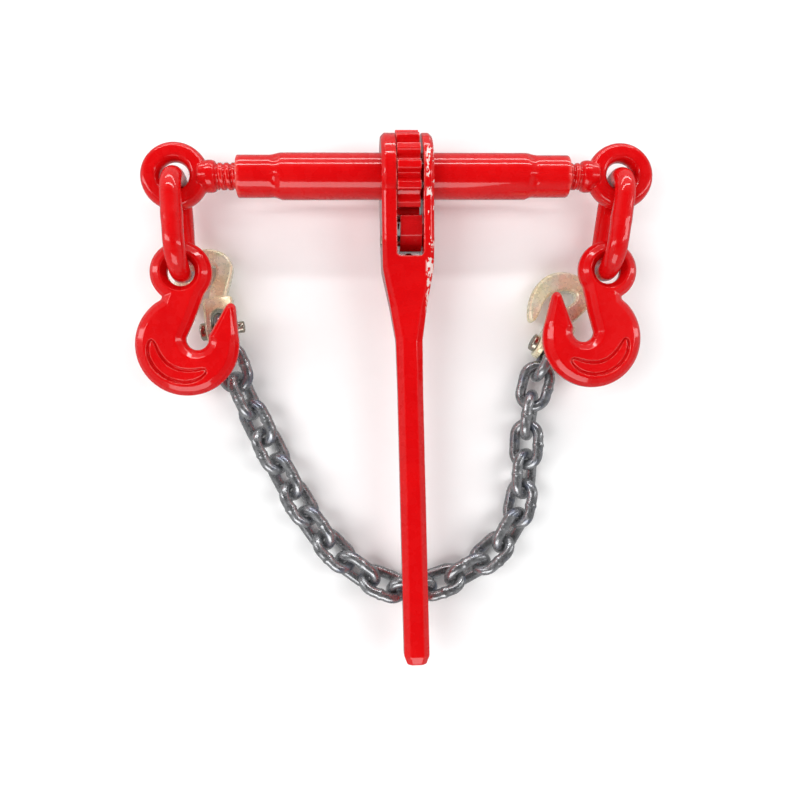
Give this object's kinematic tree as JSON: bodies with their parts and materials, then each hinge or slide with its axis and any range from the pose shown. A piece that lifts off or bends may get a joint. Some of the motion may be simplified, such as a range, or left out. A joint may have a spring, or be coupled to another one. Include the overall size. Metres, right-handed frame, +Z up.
{
  "type": "load binder chain",
  "caption": "Ratchet load binder with a lever handle, screw eye bolts, links and eye grab hooks, and a short welded chain with clevis grab hooks.",
  "frame": {"origin": "on the floor, under the middle of the outline", "axes": "+X along the barrel, +Y from the handle's end towards the barrel, +Z up; the binder lies flat"},
  "size_m": [0.3838, 0.394, 0.0672],
  "materials": {
    "red_enamel": "thick glossy red enamel over forged and cast steel, with chips and pale rubbed edges",
    "pawl_red": "glossy red enamel, rubbed at the working edges",
    "chain_steel": "oiled self-coloured welded chain, dark in the folds and bright where links rub",
    "zinc_plate": "yellow zinc plate with faint green and pink tints",
    "pin_steel": "pale plated steel",
    "spring_steel": "dark spring steel"
  },
  "bodies": {
    "chain_link_01": {"chain_link_01": "chain_steel"},
    "chain_link_02": {"chain_link_02": "chain_steel"},
    "chain_link_03": {"chain_link_03": "chain_steel"},
    "chain_link_04": {"chain_link_04": "chain_steel"},
    "chain_link_05": {"chain_link_05": "chain_steel"},
    "chain_link_06": {"chain_link_06": "chain_steel"},
    "chain_link_07": {"chain_link_07": "chain_steel"},
    "chain_link_08": {"chain_link_08": "chain_steel"},
    "chain_link_09": {"chain_link_09": "chain_steel"},
    "chain_link_10": {"chain_link_10": "chain_steel"},
    "chain_link_11": {"chain_link_11": "chain_steel"},
    "chain_link_12": {"chain_link_12": "chain_steel"},
    "chain_link_13": {"chain_link_13": "chain_steel"},
    "chain_link_14": {"chain_link_14": "chain_steel"},
    "chain_link_15": {"chain_link_15": "chain_steel"},
    "chain_link_16": {"chain_link_16": "chain_steel"},
    "chain_link_17": {"chain_link_17": "chain_steel"},
    "chain_link_18": {"chain_link_18": "chain_steel"},
    "chain_link_19": {"chain_link_19": "chain_steel"},
    "chain_link_20": {"chain_link_20": "chain_steel"},
    "chain_link_21": {"chain_link_21": "chain_steel"},
    "chain_link_22": {"chain_link_22": "chain_steel"},
    "left_clevis_hook": {"left_clevis_hook": "zinc_plate"},
    "left_clevis_pin": {"left_clevis_pin": "pin_steel", "left_split_pin": "pin_steel"},
    "right_clevis_hook": {"right_clevis_hook": "zinc_plate"},
    "right_clevis_pin": {"right_clevis_pin": "pin_steel", "right_split_pin": "pin_steel"},
    "barrel": {"barrel_tube": "red_enamel", "ratchet_gear": "red_enamel"},
    "handle": {"handle": "red_enamel", "pawl_pin": "pin_steel", "pawl_spring": "spring_steel"},
    "pawl": {"pawl": "pawl_red"},
    "pawl_plunger": {"pawl_plunger": "spring_steel"},
    "left_eye_bolt": {"left_eye_bolt": "red_enamel"},
    "left_link": {"left_link": "red_enamel"},
    "left_grab_hook": {"left_grab_hook": "red_enamel"},
    "right_eye_bolt": {"right_eye_bolt": "red_enamel"},
    "right_link": {"right_link": "red_enamel"},
    "right_grab_hook": {"right_grab_hook": "red_enamel"}
  },
  "joints": [
    {"name": "link_01_hinge", "type": "hinge", "parent": "chain_link_02", "child": "chain_link_01", "pos_m": [-0.13073, 0.03556, 0.01095], "axis": [0, 0, 1], "range_deg": [-5, 5]},
    {"name": "link_02_hinge", "type": "hinge", "parent": "chain_link_03", "child": "chain_link_02", "pos_m": [-0.12294, 0.01403, 0.01095], "axis": [0, 0, -1], "range_deg": [-5, 5]},
    {"name": "link_03_hinge", "type": "hinge", "parent": "chain_link_04", "child": "chain_link_03", "pos_m": [-0.11386, -0.007, 0.01095], "axis": [0, 0, 1], "range_deg": [-5, 5]},
    {"name": "link_04_hinge", "type": "hinge", "parent": "chain_link_05", "child": "chain_link_04", "pos_m": [-0.10418, -0.02775, 0.01095], "axis": [0, 0, -1], "range_deg": [-5, 5]},
    {"name": "link_05_hinge", "type": "hinge", "parent": "chain_link_06", "child": "chain_link_05", "pos_m": [-0.09435, -0.04843, 0.01095], "axis": [0, 0, 1], "range_deg": [-5, 5]},
    {"name": "link_06_hinge", "type": "hinge", "parent": "chain_link_07", "child": "chain_link_06", "pos_m": [-0.0842, -0.06895, 0.01095], "axis": [0, 0, -1], "range_deg": [-5, 5]},
    {"name": "link_07_hinge", "type": "hinge", "parent": "chain_link_08", "child": "chain_link_07", "pos_m": [-0.07275, -0.08879, 0.01095], "axis": [0, 0, 1], "range_deg": [-5, 5]},
    {"name": "link_08_hinge", "type": "hinge", "parent": "chain_link_09", "child": "chain_link_08", "pos_m": [-0.06003, -0.10783, 0.01095], "axis": [0, 0, -1], "range_deg": [-5, 5]},
    {"name": "link_09_hinge", "type": "hinge", "parent": "chain_link_10", "child": "chain_link_09", "pos_m": [-0.04421, -0.12439, 0.01095], "axis": [0, 0, 1], "range_deg": [-5, 5]},
    {"name": "link_10_hinge", "type": "hinge", "parent": "chain_link_11", "child": "chain_link_10", "pos_m": [-0.02596, -0.13822, 0.01095], "axis": [0, 0, -1], "range_deg": [-5, 5]},
    {"name": "link_11_hinge", "type": "hinge", "parent": "chain_link_12", "child": "chain_link_11", "pos_m": [-0.00485, -0.14709, 0.01095], "axis": [0, 0, -1], "range_deg": [-5, 1.5]},
    {"name": "link_13_hinge", "type": "hinge", "parent": "chain_link_12", "child": "chain_link_13", "pos_m": [0.01803, -0.14605, 0.01095], "axis": [0, 0, 1], "range_deg": [-5, 5]},
    {"name": "link_14_hinge", "type": "hinge", "parent": "chain_link_13", "child": "chain_link_14", "pos_m": [0.03987, -0.13915, 0.01095], "axis": [0, 0, -1], "range_deg": [-5, 5]},
    {"name": "link_15_hinge", "type": "hinge", "parent": "chain_link_14", "child": "chain_link_15", "pos_m": [0.0602, -0.12861, 0.01095], "axis": [0, 0, 1], "range_deg": [-5, 5]},
    {"name": "link_16_hinge", "type": "hinge", "parent": "chain_link_15", "child": "chain_link_16", "pos_m": [0.07757, -0.11369, 0.01095], "axis": [0, 0, -1], "range_deg": [-5, 5]},
    {"name": "link_17_hinge", "type": "hinge", "parent": "chain_link_16", "child": "chain_link_17", "pos_m": [0.08954, -0.09417, 0.01095], "axis": [0, 0, 1], "range_deg": [-5, 5]},
    {"name": "link_18_hinge", "type": "hinge", "parent": "chain_link_17", "child": "chain_link_18", "pos_m": [0.09454, -0.07182, 0.01095], "axis": [0, 0, -1], "range_deg": [-5, 5]},
    {"name": "link_19_hinge", "type": "hinge", "parent": "chain_link_18", "child": "chain_link_19", "pos_m": [0.09668, -0.04902, 0.01095], "axis": [0, 0, 1], "range_deg": [-5, 5]},
    {"name": "link_20_hinge", "type": "hinge", "parent": "chain_link_19", "child": "chain_link_20", "pos_m": [0.09807, -0.02616, 0.01095], "axis": [0, 0, -1], "range_deg": [-5, 5]},
    {"name": "link_21_hinge", "type": "hinge", "parent": "chain_link_20", "child": "chain_link_21", "pos_m": [0.10176, -0.00356, 0.01095], "axis": [0, 0, 1], "range_deg": [-5, 5]},
    {"name": "link_22_hinge", "type": "hinge", "parent": "chain_link_21", "child": "chain_link_22", "pos_m": [0.10784, 0.01852, 0.01095], "axis": [0, 0, -1], "range_deg": [-5, 5]},
    {"name": "left_clevis_swing", "type": "hinge", "parent": "chain_link_01", "child": "left_clevis_hook", "pos_m": [-0.1344, 0.05385, 0.0134], "axis": [0, 0, 1], "range_deg": [-1.5, 3]},
    {"name": "left_clevis_pin_turn", "type": "hinge", "parent": "left_clevis_hook", "child": "left_clevis_pin", "pos_m": [-0.1344, 0.05385, 0.0134], "axis": [0.9925, 0.1219, 0], "continuous": true},
    {"name": "right_clevis_swing", "type": "hinge", "parent": "chain_link_22", "child": "right_clevis_hook", "pos_m": [0.11644, 0.03506, 0.0134], "axis": [0, 0, -1], "range_deg": [-1.5, 3]},
    {"name": "right_clevis_pin_turn", "type": "hinge", "parent": "right_clevis_hook", "child": "right_clevis_pin", "pos_m": [0.11644, 0.03506, 0.0134], "axis": [0.891, -0.454, 0], "continuous": true},
    {"name": "barrel_turn", "type": "hinge", "parent": "chain_link_12", "child": "barrel", "pos_m": [0.0071, 0.16435, 0.0333], "axis": [1, 0, 0], "range_deg": [0, 5760]},
    {"name": "handle_swing", "type": "hinge", "parent": "chain_link_12", "child": "handle", "pos_m": [0.0071, 0.16435, 0.0333], "axis": [-1, 0, 0], "range_deg": [0, 180]},
    {"name": "pawl_rock", "type": "hinge", "parent": "handle", "child": "pawl", "pos_m": [0.0071, 0.11635, 0.0333], "axis": [1, 0, 0], "range_deg": [-9, 9]},
    {"name": "plunger_slide", "type": "slide", "parent": "handle", "child": "pawl_plunger", "axis": [0, -1, 0], "range_m": [0, 0.0015], "stiffness_N_per_m": 300},
    {"name": "left_take_up", "type": "slide", "parent": "chain_link_12", "child": "left_eye_bolt", "axis": [-1, 0, 0], "range_m": [0, 0.0801]},
    {"name": "left_link_swing", "type": "hinge", "parent": "left_eye_bolt", "child": "left_link", "pos_m": [-0.1634, 0.16315, 0.0333], "axis": [0, 0, -1], "range_deg": [0, 95]},
    {"name": "left_hook_swing", "type": "hinge", "parent": "left_link", "child": "left_grab_hook", "pos_m": [-0.15836, 0.09286, 0.04195], "axis": [0, 0, -1], "range_deg": [-10, 60]},
    {"name": "right_take_up", "type": "slide", "parent": "chain_link_12", "child": "right_eye_bolt", "axis": [1, 0, 0], "range_m": [0, 0.0801]},
    {"name": "right_link_swing", "type": "hinge", "parent": "right_eye_bolt", "child": "right_link", "pos_m": [0.1671, 0.16315, 0.0333], "axis": [0, 0, 1], "range_deg": [0, 95]},
    {"name": "right_hook_swing", "type": "hinge", "parent": "right_link", "child": "right_grab_hook", "pos_m": [0.15563, 0.09308, 0.0357], "axis": [0, 0, 1], "range_deg": [-10, 60]}
  ],
  "couplings": [
    {"joint": "left_take_up", "follows": "barrel_turn", "m_per_rad": 0.00079577},
    {"joint": "right_take_up", "follows": "barrel_turn", "m_per_rad": 0.00079577}
  ]
}
